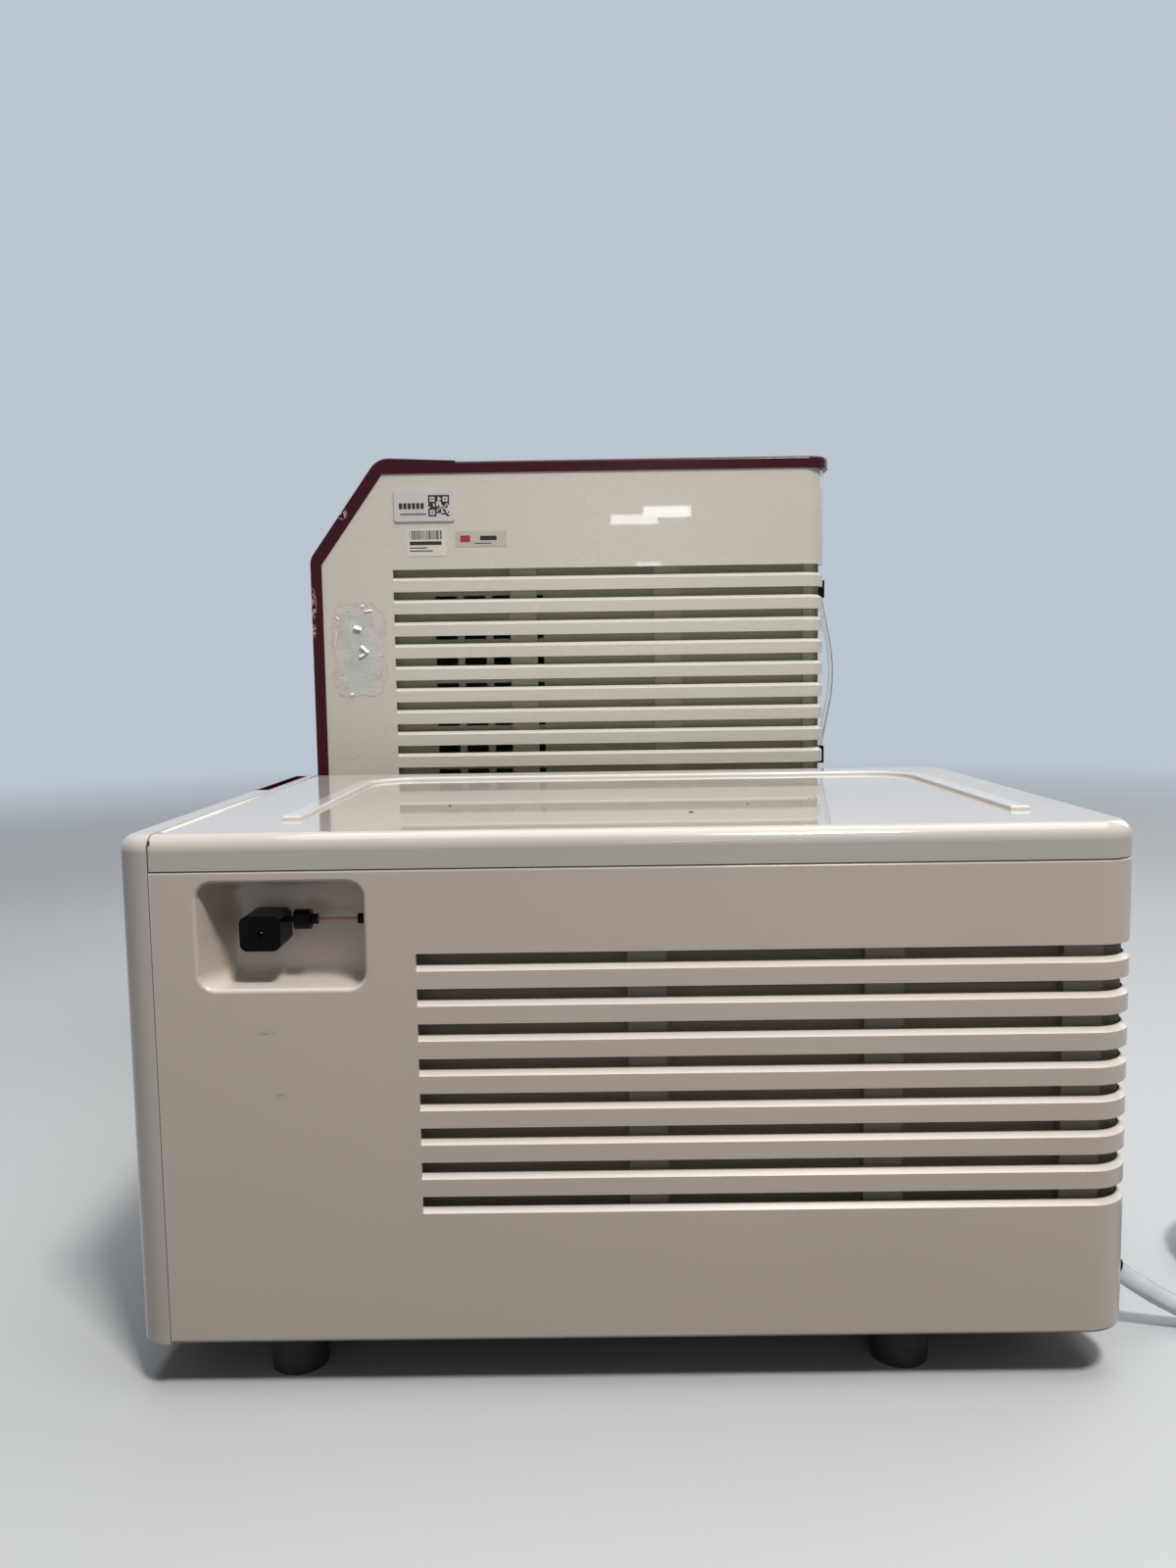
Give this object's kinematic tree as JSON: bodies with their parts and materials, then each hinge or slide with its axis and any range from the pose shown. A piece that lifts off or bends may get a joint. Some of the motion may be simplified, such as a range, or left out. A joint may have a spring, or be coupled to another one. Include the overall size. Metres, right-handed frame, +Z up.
{
  "type": "fast protein liquid chromatography system",
  "caption": "Bench liquid chromatography system: a louvred separation unit with a sloped console and, beside it, a low fraction collector with a pull-out drawer.",
  "frame": {"origin": "on the bench, under the middle of the two units' outer box, without the drain hose", "axes": "+X to the right of someone facing the front, -Y to the front, +Z up"},
  "size_m": [0.975, 0.8101, 0.6044],
  "materials": {
    "collector_white": "smooth satin gloss",
    "cover_white": "high gloss",
    "unit_white": "satin",
    "burgundy": "high gloss",
    "chassis_grey": "matt powder coat",
    "shield_olive": "matt",
    "panel_grey": "fine powder coat",
    "steel": "brushed",
    "aluminium": "anodised satin",
    "dark_plastic": "fine grain",
    "ivory_plastic": "fine grain",
    "rubber": "matt",
    "line_orange": "smooth",
    "clear_tube": "smooth translucent",
    "hose_clear": "smooth translucent",
    "vial_clear": "smooth",
    "tray_grey": "fine grain",
    "board_green": "satin lacquer",
    "console_dark": "gloss",
    "button_grey": "satin"
  },
  "bodies": {
    "housing": {"collector_side_right": "collector_white", "collector_side_left": "collector_white", "collector_cover": "cover_white", "collector_rear_panel": "panel_grey", "collector_chassis": "chassis_grey", "slide_channels": "steel", "gantry_rails": "steel", "gantry_crossbar": "aluminium", "gantry_belt": "rubber", "gantry_drive": "dark_plastic", "collector_fan_frame": "dark_plastic", "collector_power_entry": "dark_plastic", "collector_feet": "rubber", "collector_supply": "steel", "collector_board": "board_green", "inlet_block": "dark_plastic", "inlet_fittings": "dark_plastic", "inlet_line": "line_orange", "main_side_right": "unit_white", "main_side_left": "unit_white", "main_front_frame": "burgundy", "main_hood": "burgundy", "main_top_tray": "burgundy", "console": "console_dark", "main_chassis": "panel_grey", "main_module_panel": "unit_white", "vent_shields": "shield_olive", "pump_heads": "steel", "rotary_valves": "ivory_plastic", "module_drives": "aluminium", "absorbance_monitor": "dark_plastic", "conductivity_monitor": "dark_plastic", "mixer": "ivory_plastic", "main_rear_panel": "panel_grey", "main_fan_frame": "dark_plastic", "main_power_entry": "dark_plastic", "main_feet": "rubber", "main_supply": "steel", "main_board": "board_green", "link_tube": "clear_tube", "link_ports": "dark_plastic", "drain_elbow": "dark_plastic", "drain_hose": "hose_clear", "drain_hose_coil": "hose_clear"},
    "drawer": {"drawer_front": "cover_white", "drawer_grip": "burgundy", "drawer_frame": "steel", "slide_runners": "steel", "cassette_tray": "tray_grey", "cassettes": "tray_grey", "sample_vials": "vial_clear"},
    "gantry": {"gantry_beam": "aluminium"},
    "dispenser": {"dispenser_head": "dark_plastic"},
    "collector_fan": {"collector_fan_rotor": "dark_plastic"},
    "main_fan": {"main_fan_rotor": "dark_plastic"},
    "collector_switch": {"collector_rocker": "dark_plastic"},
    "main_switch": {"main_rocker": "dark_plastic"},
    "pause": {"pause_button": "button_grey"},
    "continue": {"continue_button": "button_grey"}
  },
  "joints": [
    {"name": "drawer_slide", "type": "slide", "parent": "housing", "child": "drawer", "axis": [0, -1, 0], "range_m": [0, 0.35]},
    {"name": "gantry_travel", "type": "slide", "parent": "housing", "child": "gantry", "axis": [0, 1, 0], "range_m": [-0.185, 0.2]},
    {"name": "dispenser_travel", "type": "slide", "parent": "gantry", "child": "dispenser", "axis": [1, 0, 0], "range_m": [-0.09, 0.09]},
    {"name": "collector_fan_spin", "type": "hinge", "parent": "housing", "child": "collector_fan", "pos_m": [0.2, 0.266, 0.15], "axis": [0, 1, 0], "continuous": true},
    {"name": "main_fan_spin", "type": "hinge", "parent": "housing", "child": "main_fan", "pos_m": [-0.1, 0.175, 0.4], "axis": [0, 1, 0], "continuous": true},
    {"name": "collector_switch_rock", "type": "hinge", "parent": "housing", "child": "collector_switch", "pos_m": [0.33, 0.279, 0.094], "axis": [-1, 0, 0], "range_deg": [0, 12]},
    {"name": "main_switch_rock", "type": "hinge", "parent": "housing", "child": "main_switch", "pos_m": [-0.38, 0.188, 0.104], "axis": [-1, 0, 0], "range_deg": [0, 12]},
    {"name": "pause_press", "type": "slide", "parent": "housing", "child": "pause", "axis": [0, 0.8125, -0.583], "range_m": [0, 0.0015], "stiffness_N_per_m": 300},
    {"name": "continue_press", "type": "slide", "parent": "housing", "child": "continue", "axis": [0, 0.8125, -0.583], "range_m": [0, 0.0015], "stiffness_N_per_m": 300}
  ]
}
